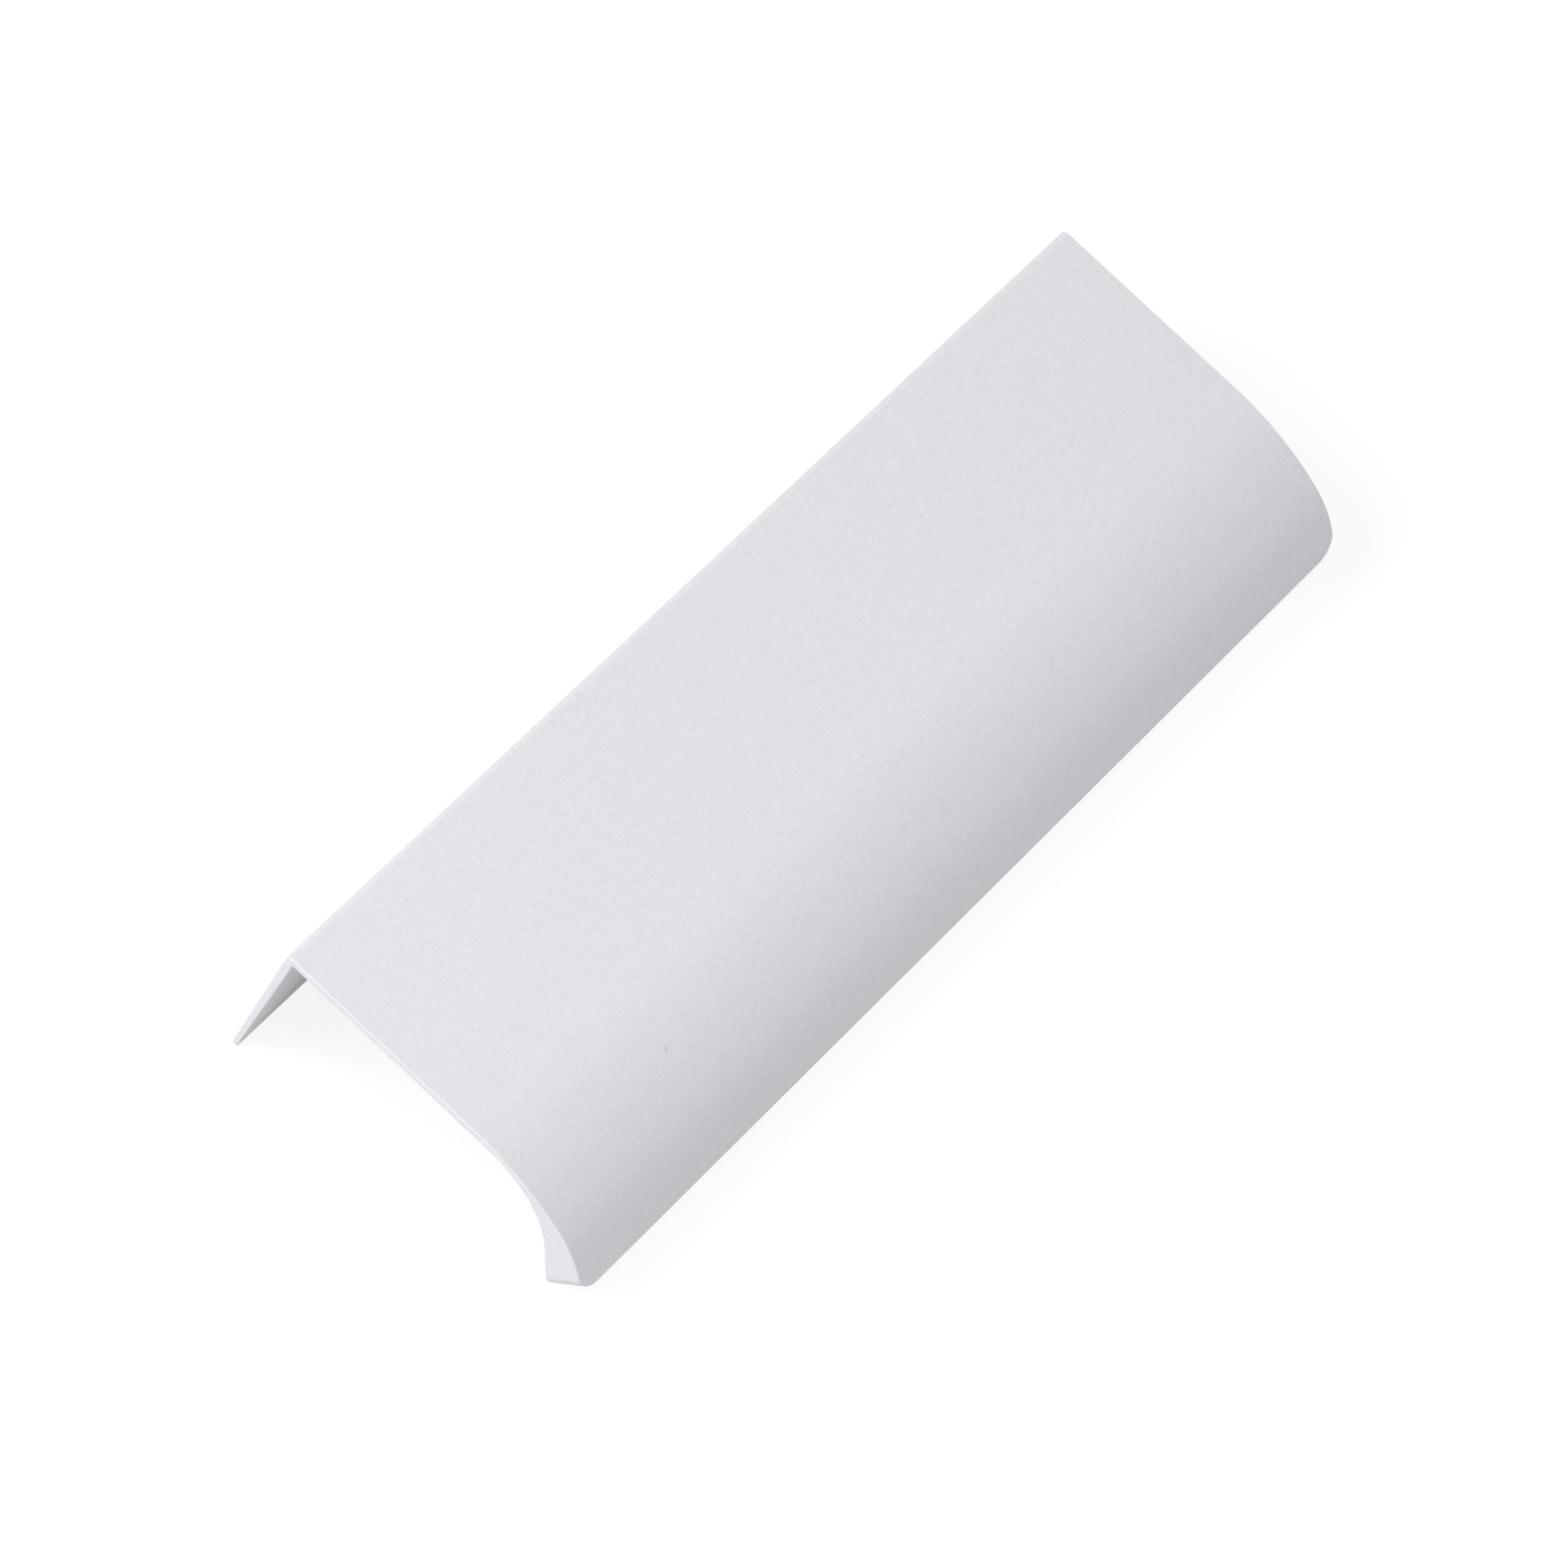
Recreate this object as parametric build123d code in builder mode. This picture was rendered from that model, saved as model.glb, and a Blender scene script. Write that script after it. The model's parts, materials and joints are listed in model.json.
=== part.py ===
"""Lip pull: one aluminium profile that hooks over the edge of a door, with a curved lip to pull at."""

import os
from math import atan2, cos, degrees, radians, sin, tan

from build123d import *

# Driving dimensions, in millimetres and degrees
# The section is measured forwards from the flange's back face and down from the plate's top face
length = 120.0
depth = 40.35
plate_thickness = 0.83
shoulder_radius = 27.2
shoulder_sweep = 26.2
nose_radius = 11.2
nose_sweep = 41.4
inner_curve_lag = 2.75
inner_radius = 10.15
inner_sweep = 65.7
lip_drop = 12.5
flange_height = 18.6
flange_root_thickness = 1.0
flange_edge_thickness = 0.65
back_corner_radius = 0.7
lip_corner_radius = 3.4
end_trim = 0.5
edge_radius = 0.12
screw_hole_diameter = 4.2
screw_hole_spacing = 96.0

# Outer curve: a wide shoulder that leaves the plate at a tangent, then a tighter nose to the full depth
outer_sweep = shoulder_sweep + nose_sweep
shoulder_reach = shoulder_radius * sin(radians(shoulder_sweep))
nose_reach = nose_radius * (sin(radians(outer_sweep)) - sin(radians(shoulder_sweep)))
plate_outer_flat = depth - nose_reach - shoulder_reach
nose_centre_front = depth - nose_radius * sin(radians(outer_sweep))
nose_centre_height = (shoulder_radius - nose_radius) * cos(radians(shoulder_sweep)) - shoulder_radius
lip_outer_height = nose_centre_height + nose_radius * cos(radians(outer_sweep))

# Inner curve: one turn that starts further forwards, then straight to the edge that the fingers hold
plate_inner_flat = plate_outer_flat + inner_curve_lag
inner_centre_height = -plate_thickness - inner_radius
inner_curve_end = plate_inner_flat + inner_radius * sin(radians(inner_sweep))
inner_curve_end_height = inner_centre_height + inner_radius * cos(radians(inner_sweep))
lip_inner_front = inner_curve_end + (lip_drop + inner_curve_end_height) / tan(radians(inner_sweep))

# The lip's end face runs from its inner edge up to its outer edge
lip_end_front = depth - lip_inner_front
lip_end_rise = lip_outer_height + lip_drop
lip_end_slope = degrees(atan2(lip_end_rise, lip_end_front))

# Centres of the two rounded edges that touch the floor: the inner ones of the flange and of the lip
flange_thinning = flange_root_thickness - flange_edge_thickness
flange_taper = atan2(flange_thinning, flange_height - plate_thickness)
flange_centre_inset = edge_radius / cos(flange_taper) - edge_radius * tan(flange_taper)
flange_centre_front = flange_edge_thickness - flange_centre_inset
flange_centre_height = edge_radius - flange_height
lip_edge_angle = 180 - inner_sweep - lip_end_slope
lip_edge_bisector = lip_end_slope + lip_edge_angle / 2
lip_centre_offset = edge_radius / sin(radians(lip_edge_angle / 2))
lip_centre_front = lip_inner_front + lip_centre_offset * cos(radians(lip_edge_bisector))
lip_centre_height = lip_centre_offset * sin(radians(lip_edge_bisector)) - lip_drop

# The two edges have one radius, so the floor is parallel to the line between their centres
rest_rise = lip_centre_height - flange_centre_height
rest_span = lip_centre_front - flange_centre_front
rest_tilt = degrees(atan2(rest_rise, rest_span))

# The screw holes are halfway down the flange's inner face
screw_hole_height = -(flange_height + plate_thickness) / 2

section_plane = Plane(origin=(0, 0, 0), x_dir=(0, -1, 0), z_dir=(-1, 0, 0))
flange_back_plane = Plane(origin=(0, 0, screw_hole_height), x_dir=(-1, 0, 0), z_dir=(0, 1, 0))
lip_end_direction = Axis((0, 0, 0), (0, -lip_end_front, lip_end_rise))

# The profile as it sits on a door: plate level, flange down the back, lip out in front
with BuildPart() as profile:
    with BuildSketch(section_plane) as section:
        with BuildLine():
            top = Line((0, 0), (plate_outer_flat, 0))
            shoulder_centre = (plate_outer_flat, -shoulder_radius)
            CenterArc(shoulder_centre, shoulder_radius, 90, -shoulder_sweep)
            nose_centre = (nose_centre_front, nose_centre_height)
            nose = CenterArc(nose_centre, nose_radius, 90 - shoulder_sweep, -nose_sweep)
            lip_end = Line(nose @ 1, (lip_inner_front, -lip_drop))
            lip_inner = Line(lip_end @ 1, (inner_curve_end, inner_curve_end_height))
            inner_centre = (plate_inner_flat, inner_centre_height)
            inner_curve = CenterArc(inner_centre, inner_radius, 90 - inner_sweep, inner_sweep)
            underside = Line(inner_curve @ 1, (flange_root_thickness, -plate_thickness))
            flange_inner = Line(underside @ 1, (flange_edge_thickness, -flange_height))
            flange_edge = Line(flange_inner @ 1, (0, -flange_height))
            Line(flange_edge @ 1, top @ 0)
        make_face()
        fillet(section.vertices().sort_by_distance((0, 0))[0], back_corner_radius)
    extrude(amount=length / 2 + end_trim, both=True)

    # The lip's corners are rounded, then the ends are trimmed to length, so the corners meet them at an angle
    fillet(profile.edges().filter_by(lip_end_direction), lip_corner_radius)
    Box(length, 4 * depth, 4 * depth, mode=Mode.INTERSECT)

    # Cut ends, lip and flange lose their sharp edges before they are coated
    end_edges = profile.faces().filter_by(Axis.X).edges()
    long_edges = profile.edges().filter_by(Axis.X)
    flange_edges = long_edges.sort_by(Axis.Z)[:2]
    lip_edges = long_edges.sort_by(Axis.Y)[:2]
    fillet(end_edges + flange_edges + lip_edges, edge_radius)

    # Two plain screw holes through the flange, drilled from its back
    with Locations(flange_back_plane):
        with GridLocations(screw_hole_spacing, 0, 2, 1):
            Hole(radius=screw_hole_diameter / 2, depth=2 * flange_root_thickness)

# Laid down on its two inner edges, centred over the origin
rested = profile.part.rotate(Axis.X, rest_tilt)
rested_box = rested.bounding_box()
handle_profile = rested.translate((0, -rested_box.center().Y, -rested_box.min.Z))
handle_profile.label = "handle_profile"

os.makedirs("parts", exist_ok=True)
export_step(handle_profile, "parts/handle_profile.step")
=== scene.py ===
import json
from math import acos, atan2, cos, pi, radians, sin, sqrt, tan

import bpy
from mathutils import Matrix, Vector


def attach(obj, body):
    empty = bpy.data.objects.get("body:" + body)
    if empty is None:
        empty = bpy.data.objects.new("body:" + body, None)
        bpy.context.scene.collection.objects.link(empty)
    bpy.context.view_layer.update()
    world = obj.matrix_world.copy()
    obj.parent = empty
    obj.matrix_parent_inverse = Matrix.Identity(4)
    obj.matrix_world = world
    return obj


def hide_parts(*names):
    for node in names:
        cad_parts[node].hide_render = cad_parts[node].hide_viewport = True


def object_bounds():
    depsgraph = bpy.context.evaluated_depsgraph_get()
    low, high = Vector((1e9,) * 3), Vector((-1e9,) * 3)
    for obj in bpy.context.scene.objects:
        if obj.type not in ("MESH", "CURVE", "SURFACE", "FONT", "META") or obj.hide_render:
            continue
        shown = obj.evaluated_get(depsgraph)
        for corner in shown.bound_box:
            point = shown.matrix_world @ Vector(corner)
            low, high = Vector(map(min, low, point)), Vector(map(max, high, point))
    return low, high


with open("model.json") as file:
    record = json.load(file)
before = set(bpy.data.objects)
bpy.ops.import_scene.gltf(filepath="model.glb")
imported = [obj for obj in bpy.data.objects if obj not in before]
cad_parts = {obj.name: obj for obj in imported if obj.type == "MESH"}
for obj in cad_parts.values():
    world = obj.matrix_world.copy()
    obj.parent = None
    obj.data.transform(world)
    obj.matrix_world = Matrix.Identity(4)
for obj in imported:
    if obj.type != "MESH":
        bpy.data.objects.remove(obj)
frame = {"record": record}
cad_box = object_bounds()

# Handle profile
# One length of extruded aluminium: a flat plate, a screw flange down its back and a lip curving down in
# front. It is sawn off, its lip corners are rounded, its edges broken, and it is powder coated matte white.

# Sizes in metres. The section is drawn forwards from the flange's back face and up from the plate's top face
length = 0.120
depth = 0.04035
plate_thickness = 0.00083
shoulder_radius = 0.0272
shoulder_turn = radians(26.2)
nose_radius = 0.0112
nose_turn = radians(41.4)
inner_curve_lag = 0.00275
inner_radius = 0.01015
inner_turn = radians(65.7)
lip_drop = 0.0125
flange_height = 0.0186
flange_root_thickness = 0.001
flange_edge_thickness = 0.00065
back_corner_radius = 0.0007
lip_corner_radius = 0.0034
end_trim = 0.0005
edge_radius = 0.00012
screw_hole_diameter = 0.0042
screw_hole_spacing = 0.096
saw_allowance = 0.002

outer_turn = shoulder_turn + nose_turn
shoulder_reach = shoulder_radius * sin(shoulder_turn)
nose_reach = nose_radius * (sin(outer_turn) - sin(shoulder_turn))
outer_flat = depth - shoulder_reach - nose_reach
shoulder_end = Vector((outer_flat + shoulder_reach, shoulder_radius * (cos(shoulder_turn) - 1)))
shoulder_corner = Vector((outer_flat + shoulder_radius * tan(shoulder_turn / 2), 0))
shoulder_run = Vector((cos(shoulder_turn), -sin(shoulder_turn)))
nose_corner = shoulder_end + nose_radius * tan(nose_turn / 2) * shoulder_run
lip_outer = Vector((depth, shoulder_end.y - nose_radius * (cos(shoulder_turn) - cos(outer_turn))))
inner_flat = outer_flat + inner_curve_lag
inner_corner = Vector((inner_flat + inner_radius * tan(inner_turn / 2), -plate_thickness))
lip_inner = Vector((inner_corner.x + (lip_drop - plate_thickness) / tan(inner_turn), -lip_drop))
lip_slope = atan2(lip_outer.y - lip_inner.y, lip_outer.x - lip_inner.x)

# Corner points of the section with the radius that each is rounded to. The lip runs on for the saw
section_corners = [
    (Vector((0, -flange_height)), 0),
    (Vector((flange_edge_thickness, -flange_height)), 0),
    (Vector((flange_root_thickness, -plate_thickness)), 0),
    (inner_corner, inner_radius),
    (lip_inner + saw_allowance * Vector((cos(inner_turn), -sin(inner_turn))), 0),
    (lip_outer + saw_allowance * Vector((cos(outer_turn), -sin(outer_turn))), 0),
    (nose_corner, nose_radius),
    (shoulder_corner, shoulder_radius),
    (Vector((0, 0)), back_corner_radius),
]

# Corner points of the block that the saw leaves, along the length and up from the lip's end. Each lip
# corner's arc starts outside the end, so it meets the end at an angle, which is eased to a smooth turn
half_length = length / 2
block_height = 0.06
block_width = 0.08
corner_ease = 0.0014
end_bend = acos(1 - end_trim / lip_corner_radius)
rest_bend = pi / 2 - end_bend
corner_rise = lip_corner_radius * (1 - sin(end_bend))
corner_run = lip_corner_radius * (cos(end_bend) - tan(rest_bend / 2))
eased_radius = lip_corner_radius - corner_ease * tan(end_bend / 2) / tan(rest_bend / 2)
block_side = (
    (half_length, block_height, 0),
    (half_length, corner_rise, corner_ease),
    (half_length - corner_run, 0, eased_radius),
)
block_corners = [
    (Vector((side * along, up)), radius)
    for side, order in ((-1, 1), (1, -1))
    for along, up, radius in block_side[::order]
]

corners = section_corners + block_corners
section_count = len(section_corners)
outlines = bpy.data.meshes.new("profile_outlines")
outlines.from_pydata(
    [corner.to_3d() for corner, _ in corners],
    [
        (first + i, first + (i + 1) % count)
        for first, count in ((0, section_count), (section_count, len(block_corners)))
        for i in range(count)
    ],
    [],
)
rounding = outlines.attributes.new("corner_radius", "FLOAT", "POINT")
for point, (_, radius) in zip(rounding.data, corners):
    point.value = radius
of_block = outlines.attributes.new("of_block", "BOOLEAN", "POINT")
for i, point in enumerate(of_block.data):
    point.value = i >= section_count
profile = bpy.data.objects.new("coated_profile", outlines)
bpy.context.scene.collection.objects.link(profile)


def plug(tree, socket, value):
    if isinstance(value, bpy.types.NodeSocket):
        tree.links.new(value, socket)
    else:
        socket.default_value = value


def add_node(tree, kind, options=(), **inputs):
    node = tree.nodes.new(kind)
    for name, value in dict(options).items():
        setattr(node, name, value)
    for name, value in inputs.items():
        plug(tree, node.inputs[name.replace("_", " ")], value)
    return node


def calculate(tree, operation, *values):
    node = add_node(tree, "ShaderNodeMath", {"operation": operation})
    for socket, value in zip(node.inputs, values):
        plug(tree, socket, value)
    return node.outputs[0]


sawing = bpy.data.node_groups.new("sawn_profile", "GeometryNodeTree")
size_sockets = {}
sawing.interface.new_socket("Outlines", in_out="INPUT", socket_type="NodeSocketGeometry")
for name in ("Length", "Saw Allowance", "Hole Diameter", "Hole Spacing", "Hole Height"):
    size_sockets[name] = sawing.interface.new_socket(name, in_out="INPUT", socket_type="NodeSocketFloat")
for name in ("Lip End Place", "Lip End Turn"):
    size_sockets[name] = sawing.interface.new_socket(name, in_out="INPUT", socket_type="NodeSocketVector")
size_sockets["Coat"] = sawing.interface.new_socket("Coat", in_out="INPUT", socket_type="NodeSocketMaterial")
sawing.interface.new_socket("Profile", in_out="OUTPUT", socket_type="NodeSocketGeometry")
given = add_node(sawing, "NodeGroupInput").outputs


def corner_value(kind, name):
    return add_node(sawing, "GeometryNodeInputNamedAttribute", {"data_type": kind}, Name=name).outputs[0]


def rounded(loop, steps):
    outline = add_node(sawing, "GeometryNodeMeshToCurve", Mesh=loop).outputs[0]
    return add_node(
        sawing, "GeometryNodeFilletCurve", {"mode": "POLY"},
        Curve=outline, Radius=corner_value("FLOAT", "corner_radius"), Count=steps,
    ).outputs[0]


def merged(mesh, distance):
    return add_node(sawing, "GeometryNodeMergeByDistance", Geometry=mesh, Distance=distance).outputs[0]


def extruded(outline, distance):
    face = add_node(sawing, "GeometryNodeFillCurve", {"mode": "NGONS"}, Curve=outline).outputs[0]
    way = add_node(sawing, "ShaderNodeCombineXYZ", Z=distance).outputs[0]
    far_side = add_node(
        sawing, "GeometryNodeExtrudeMesh", {"mode": "FACES"}, Mesh=face, Offset=way, Individual=False
    )
    near_side = add_node(sawing, "GeometryNodeFlipFaces", Mesh=face)
    closed = add_node(sawing, "GeometryNodeJoinGeometry")
    sawing.links.new(far_side.outputs["Mesh"], closed.inputs[0])
    sawing.links.new(near_side.outputs[0], closed.inputs[0])
    half_back = calculate(sawing, "MULTIPLY", distance, -0.5)
    centring = add_node(sawing, "ShaderNodeCombineXYZ", Z=half_back).outputs[0]
    centred = add_node(
        sawing, "GeometryNodeTransform", Geometry=closed.outputs[0], Translation=centring
    ).outputs[0]
    doubles_reach = 1e-6
    return merged(centred, doubles_reach)


# The rounded section is pushed out to more than the length
section_steps = 24
loops = add_node(
    sawing, "GeometryNodeSeparateGeometry",
    Geometry=given["Outlines"], Selection=corner_value("BOOLEAN", "of_block"),
).outputs
stock_length = calculate(sawing, "MULTIPLY_ADD", given["Saw Allowance"], 2.0, given["Length"])
stock = extruded(rounded(loops["Inverted"], section_steps), stock_length)

# The block is turned to the slope of the lip's end, and takes the lip and both ends to size
corner_steps = 6
level_block = extruded(rounded(loops["Selection"], corner_steps), block_width)
block = add_node(
    sawing, "GeometryNodeTransform",
    Geometry=level_block, Translation=given["Lip End Place"], Rotation=given["Lip End Turn"],
).outputs[0]
sawn = add_node(sawing, "GeometryNodeMeshBoolean", {"operation": "INTERSECT", "solver": "EXACT"})
sawing.links.new(stock, sawn.inputs["Mesh 2"])
sawing.links.new(block, sawn.inputs["Mesh 2"])

# Two screw holes are drilled through the flange
drill_sides = 48
drill_depth = 0.006
drill_radius = calculate(sawing, "MULTIPLY", given["Hole Diameter"], 0.5)
drill = add_node(
    sawing, "GeometryNodeMeshCylinder", Vertices=drill_sides, Radius=drill_radius, Depth=drill_depth
).outputs[0]
half_spacing_back = calculate(sawing, "MULTIPLY", given["Hole Spacing"], -0.5)
first_hole = add_node(sawing, "ShaderNodeCombineXYZ", Y=given["Hole Height"], Z=half_spacing_back).outputs[0]
next_hole = add_node(sawing, "ShaderNodeCombineXYZ", Z=given["Hole Spacing"]).outputs[0]
hole_places = add_node(
    sawing, "GeometryNodeMeshLine", {"mode": "OFFSET"}, Count=2, Start_Location=first_hole, Offset=next_hole
).outputs[0]
drills = add_node(
    sawing, "GeometryNodeInstanceOnPoints", Points=hole_places, Instance=drill, Rotation=(0, pi / 2, 0)
).outputs[0]
drills = add_node(sawing, "GeometryNodeRealizeInstances", Geometry=drills).outputs[0]
drilled = add_node(
    sawing, "GeometryNodeMeshBoolean", {"operation": "DIFFERENCE", "solver": "EXACT"}, Mesh_1=sawn.outputs[0]
)
sawing.links.new(drills, drilled.inputs["Mesh 2"])

# Every sharp edge is marked for one edge radius: the sharper it is, the wider the bevel whose middle meets
# that arc. Points closer than the shortest edge are joined first, so that no bevel folds over
shortest_edge = 0.00003
sharp_bend = radians(30)
widest_bevel = 3 * edge_radius
square_run = 2 - sqrt(2)
whole = merged(drilled.outputs[0], shortest_edge)
edge_bend = add_node(sawing, "GeometryNodeInputMeshEdgeAngle").outputs["Unsigned Angle"]
half_bend = calculate(sawing, "MULTIPLY", edge_bend, 0.5)
corner_reach = calculate(sawing, "DIVIDE", 1.0, calculate(sawing, "COSINE", half_bend))
corner_cut = calculate(sawing, "SUBTRACT", corner_reach, 1.0)
bevel_run = calculate(sawing, "DIVIDE", corner_cut, calculate(sawing, "SINE", half_bend))
bevel_share = calculate(sawing, "MULTIPLY", bevel_run, edge_radius / widest_bevel / square_run)
is_sharp = calculate(sawing, "GREATER_THAN", edge_bend, sharp_bend)
marked = add_node(
    sawing, "GeometryNodeStoreNamedAttribute", {"data_type": "FLOAT", "domain": "EDGE"},
    Geometry=whole, Name="bevel_weight_edge", Value=calculate(sawing, "MULTIPLY", bevel_share, is_sharp),
).outputs[0]
smooth = add_node(sawing, "GeometryNodeSetShadeSmooth", Geometry=marked).outputs[0]
realized = add_node(sawing, "GeometryNodeRealizeInstances", Geometry=smooth).outputs[0]
coated = add_node(sawing, "GeometryNodeSetMaterial", Geometry=realized, Material=given["Coat"]).outputs[0]
sawing.links.new(coated, add_node(sawing, "NodeGroupOutput").inputs["Profile"])

# Powder coat: a fine sandy grain and a soft ripple, over a white that drifts a little between cool and warm
cool_white = (0.789, 0.790, 0.833, 1)
warm_white = (0.806, 0.797, 0.837, 1)
coat = bpy.data.materials.new("white_powder_coat")
coat.use_nodes = True
paint = coat.node_tree
shader = paint.nodes["Principled BSDF"]
coat_place = add_node(paint, "ShaderNodeTexCoord").outputs["Object"]


def noise(scale, detail, roughness):
    return add_node(
        paint, "ShaderNodeTexNoise", Vector=coat_place, Scale=scale, Detail=detail, Roughness=roughness
    ).outputs["Fac"]


def spread(value, low, high, least, most):
    return add_node(
        paint, "ShaderNodeMapRange", Value=value, From_Min=low, From_Max=high, To_Min=least, To_Max=most
    ).outputs[0]


grain = noise(scale=4300.0, detail=2.0, roughness=0.6)
sand = noise(scale=1900.0, detail=1.0, roughness=0.5)
drift = noise(scale=60.0, detail=3.0, roughness=0.55)
peel = noise(scale=420.0, detail=1.0, roughness=0.5)
tint = add_node(paint, "ShaderNodeMix", {"data_type": "RGBA"})
plug(paint, tint.inputs["Factor"], drift)
plug(paint, tint.inputs[6], cool_white)
plug(paint, tint.inputs[7], warm_white)
grain_shade = spread(grain, low=0.25, high=0.75, least=0.944, most=1.048)
sand_shade = spread(sand, low=0.25, high=0.75, least=-0.025, most=0.025)
speckle = calculate(paint, "ADD", grain_shade, sand_shade)


def mark(middle, axes, half_sizes):
    local = add_node(
        paint, "ShaderNodeMapping", {"vector_type": "TEXTURE"},
        Vector=coat_place, Location=middle, Rotation=axes.transposed().to_euler(), Scale=half_sizes,
    ).outputs[0]
    off_middle = add_node(paint, "ShaderNodeVectorMath", {"operation": "LENGTH"})
    plug(paint, off_middle.inputs[0], local)
    core_share = 0.4
    return add_node(
        paint, "ShaderNodeMapRange", {"interpolation_type": "SMOOTHSTEP"},
        Value=off_middle.outputs["Value"], From_Min=core_share, From_Max=1.0, To_Min=1.0, To_Max=0.0,
    ).outputs[0]


# The coat has a short nick across the start of the curve and a dark speck beside the near end
nick_start = Vector((-0.038749, -0.011691, 0.012581))
nick_end = Vector((-0.039355, -0.012162, 0.012362))
nick_surface = Vector((0, -0.4216, 0.9068))
nick_half_share = 0.65
nick_half_width = 0.00016
nick_half_depth = 0.0003
nick_shade = -0.16
speck_place = Vector((-0.059346, -0.008415, 0.013819))
speck_half_sizes = (0.0002, 0.0002, 0.0003)
speck_shade = -0.10
nick_span = nick_end - nick_start
nick_along = nick_span.normalized()
nick_up = (nick_surface - nick_surface.dot(nick_along) * nick_along).normalized()
nick_axes = Matrix((nick_along, nick_up.cross(nick_along), nick_up))
nick_reach = nick_half_share * nick_span.length
nick = mark((nick_start + nick_end) / 2, nick_axes, (nick_reach, nick_half_width, nick_half_depth))
speck = mark(speck_place, Matrix.Identity(3), speck_half_sizes)
specked = calculate(paint, "MULTIPLY_ADD", speck, speck_shade, speckle)
darkened = calculate(paint, "MULTIPLY_ADD", nick, nick_shade, specked)
colour = add_node(paint, "ShaderNodeVectorMath", {"operation": "SCALE"}, Scale=darkened)
plug(paint, colour.inputs[0], tint.outputs[2])
plug(paint, shader.inputs["Base Color"], colour.outputs[0])
gloss = spread(sand, low=0.3, high=0.7, least=0.48, most=0.60)
plug(paint, shader.inputs["Roughness"], gloss)
shader.inputs["Specular IOR Level"].default_value = 0.25
grain_height = 0.6
sand_height = 0.8
sand_relief = calculate(paint, "MULTIPLY", sand, sand_height)
relief = calculate(paint, "MULTIPLY_ADD", grain, grain_height, sand_relief)
fine_bump = add_node(paint, "ShaderNodeBump", Height=relief, Strength=0.35, Distance=0.00004).outputs[0]
peel_bump = add_node(
    paint, "ShaderNodeBump", Height=peel, Strength=0.15, Distance=0.00002, Normal=fine_bump
).outputs[0]
plug(paint, shader.inputs["Normal"], peel_bump)

# Sizes go in by each socket's identifier, then the result becomes a plain mesh with its edges broken
bevel_steps = 6
lip_end_axes = Matrix((
    (0, 0, 1),
    (-sin(lip_slope), cos(lip_slope), 0),
    (-cos(lip_slope), -sin(lip_slope), 0),
))
saw = profile.modifiers.new("sawn_profile", "NODES")
saw.node_group = sawing
for name, value in {
    "Length": length,
    "Saw Allowance": saw_allowance,
    "Hole Diameter": screw_hole_diameter,
    "Hole Spacing": screw_hole_spacing,
    "Hole Height": -(flange_height + plate_thickness) / 2,
    "Lip End Place": lip_inner.to_3d(),
    "Lip End Turn": Vector(lip_end_axes.transposed().to_euler()),
    "Coat": coat,
}.items():
    saw[size_sockets[name].identifier] = value
file_edges = profile.modifiers.new("broken_edges", "BEVEL")
file_edges.limit_method = "WEIGHT"
file_edges.width = widest_bevel
file_edges.segments = bevel_steps
file_edges.use_clamp_overlap = False
file_edges.harden_normals = True
depsgraph = bpy.context.evaluated_depsgraph_get()
plain_mesh = bpy.data.meshes.new_from_object(
    profile.evaluated_get(depsgraph), preserve_all_data_layers=True, depsgraph=depsgraph
)
profile.modifiers.clear()
profile.data = plain_mesh

# It lies on its flange and lip edges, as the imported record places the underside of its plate, and any point
# that rounding puts past the solid's box goes back to the box
underside = next(mount for mount in frame["record"]["mounts"] if mount["name"] == "plate_underside")
upwards = -Vector(underside["axis"])
backwards_along = Vector((-1, 0, 0))
forwards = upwards.cross(backwards_along)
rest = Matrix((forwards, upwards, backwards_along)).transposed().to_4x4()
underside_middle = Vector(((flange_root_thickness + inner_flat) / 2, -plate_thickness, 0))
rest.translation = Vector(underside["pos_m"]) - rest.to_3x3() @ underside_middle
plain_mesh.transform(rest)
for vertex in plain_mesh.vertices:
    vertex.co = [min(max(value, low), high) for value, low, high in zip(vertex.co, *cad_box)]
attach(profile, "root")
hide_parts("handle_profile")

# Floor
# A plain pale sheet under the handle, which keeps its shadow. Where it is looked at or mirrored it glows up
# to white, and elsewhere it only throws the panels' light back.
reach = 3.0
paper_level = 0.8
shadow_level = 0.2
glow_level = 0.85
floor_mesh = bpy.data.meshes.new("floor")
floor_mesh.from_pydata(
    [(-reach, -reach, 0), (reach, -reach, 0), (reach, reach, 0), (-reach, reach, 0)], [], [(0, 1, 2, 3)]
)
floor = bpy.data.objects.new("floor", floor_mesh)
bpy.context.scene.collection.objects.link(floor)
paper = bpy.data.materials.new("floor_paper")
paper.use_nodes = True
sheet = paper.node_tree
sheet.nodes.clear()


def looked_at(tree):
    paths = add_node(tree, "ShaderNodeLightPath").outputs
    seen = calculate(tree, "MAXIMUM", paths["Is Camera Ray"], paths["Is Glossy Ray"])
    return calculate(tree, "MAXIMUM", seen, paths["Is Transmission Ray"])


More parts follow.
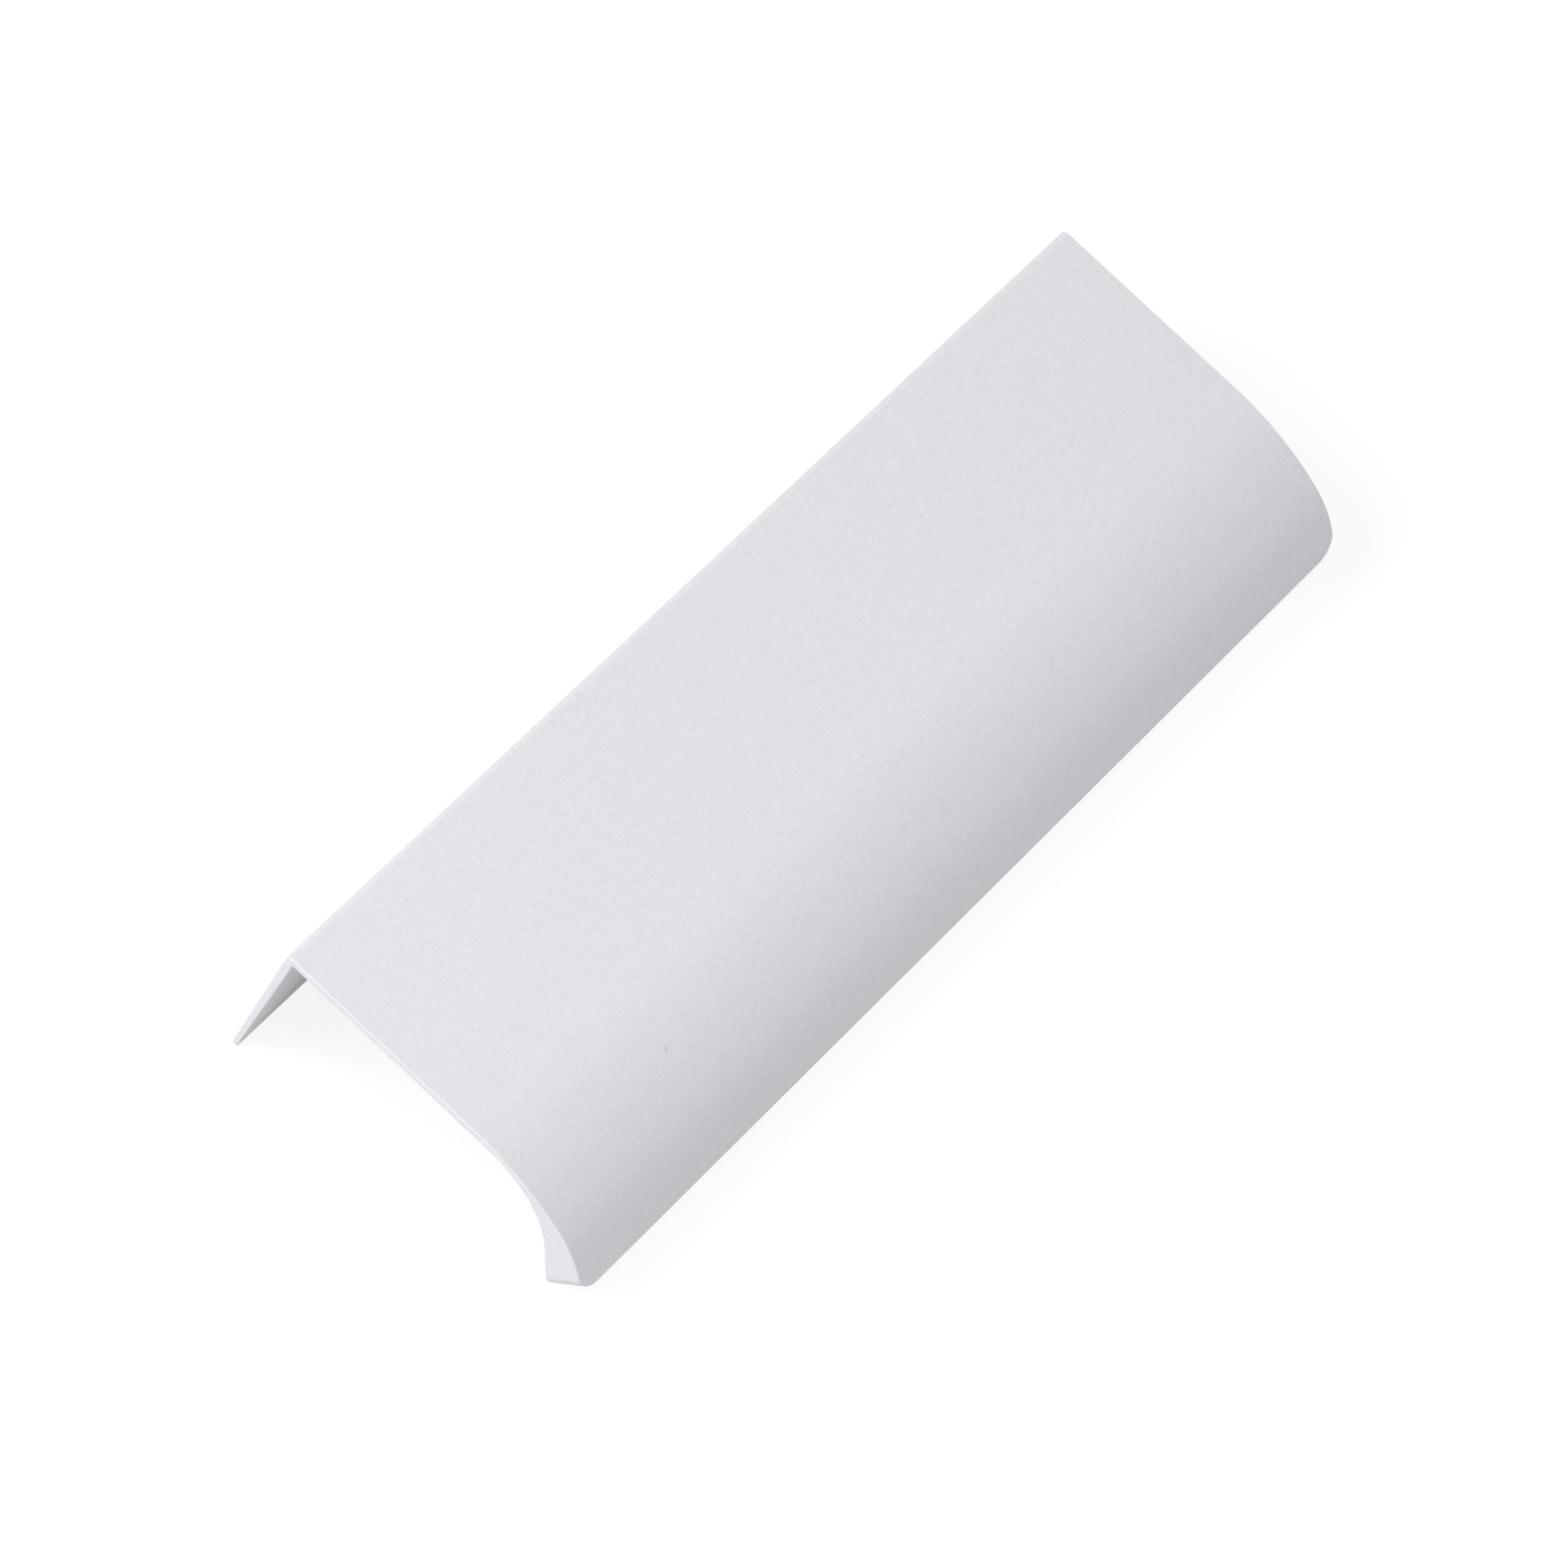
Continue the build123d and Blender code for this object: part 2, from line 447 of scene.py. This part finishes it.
floor_seen = looked_at(sheet)
paper_shade = calculate(sheet, "MULTIPLY_ADD", floor_seen, shadow_level - paper_level, paper_level)
paper_colour = add_node(sheet, "ShaderNodeCombineXYZ", X=paper_shade, Y=paper_shade, Z=paper_shade).outputs[0]
matte = add_node(sheet, "ShaderNodeBsdfDiffuse", Color=paper_colour).outputs[0]
glow_strength = calculate(sheet, "MULTIPLY", floor_seen, glow_level)
glow = add_node(sheet, "ShaderNodeEmission", Strength=glow_strength).outputs[0]
both = add_node(sheet, "ShaderNodeAddShader")
plug(sheet, both.inputs[0], matte)
plug(sheet, both.inputs[1], glow)
plug(sheet, add_node(sheet, "ShaderNodeOutputMaterial").inputs["Surface"], both.outputs[0])
floor_mesh.materials.append(paper)

# Studio light
# Two large soft panels behind and to the left, a weaker one straight above and one high in front.
# The room around them is white where it is looked at or mirrored, and adds no light.
world = bpy.data.worlds.new("studio")
bpy.context.scene.world = world
world.use_nodes = True
room = world.node_tree
background = room.nodes["Background"]
background.inputs["Color"].default_value = (1, 1, 1, 1)
plug(room, background.inputs["Strength"], looked_at(room))
white = (1, 1, 1)
rosy_white = (1, 0.962, 0.962)
for name, place, width, height, level, tone in (
    ("panel_back", Vector((-0.50, 0.80, 0.75)), 0.70, 0.70, 0.369, white),
    ("panel_left", Vector((-0.80, 0.55, 0.70)), 0.70, 0.70, 0.566, white),
    ("panel_above", Vector((-0.10, -0.19, 1.15)), 0.80, 0.80, 0.316, white),
    ("panel_front", Vector((-0.15, -0.90, 0.80)), 1.60, 0.60, 0.381, rosy_white),
):
    lamp = bpy.data.lights.new(name, "AREA")
    lamp.shape = "RECTANGLE"
    lamp.size = width
    lamp.size_y = height
    lamp.energy = level * pi * pi * place.length_squared
    lamp.color = tone
    panel = bpy.data.objects.new(name, lamp)
    panel.location = place
    panel.rotation_euler = (-place).to_track_quat("-Z", "Y").to_euler()
    bpy.context.scene.collection.objects.link(panel)

# Camera
# A long lens that looks down on the handle from its near end.
# It is rolled so that the handle lies across the frame.
lens = bpy.data.cameras.new("camera")
lens.sensor_width = 36.0
lens.lens = 209.367
lens.clip_start = 0.05
camera = bpy.data.objects.new("camera", lens)
camera.location = (-0.473249, -0.189381, 0.707978)
camera.rotation_euler = (radians(34.20115), radians(-11.32153), radians(-51.90849))
bpy.context.scene.collection.objects.link(camera)
bpy.context.scene.camera = camera
bpy.context.scene.view_settings.view_transform = "Standard"
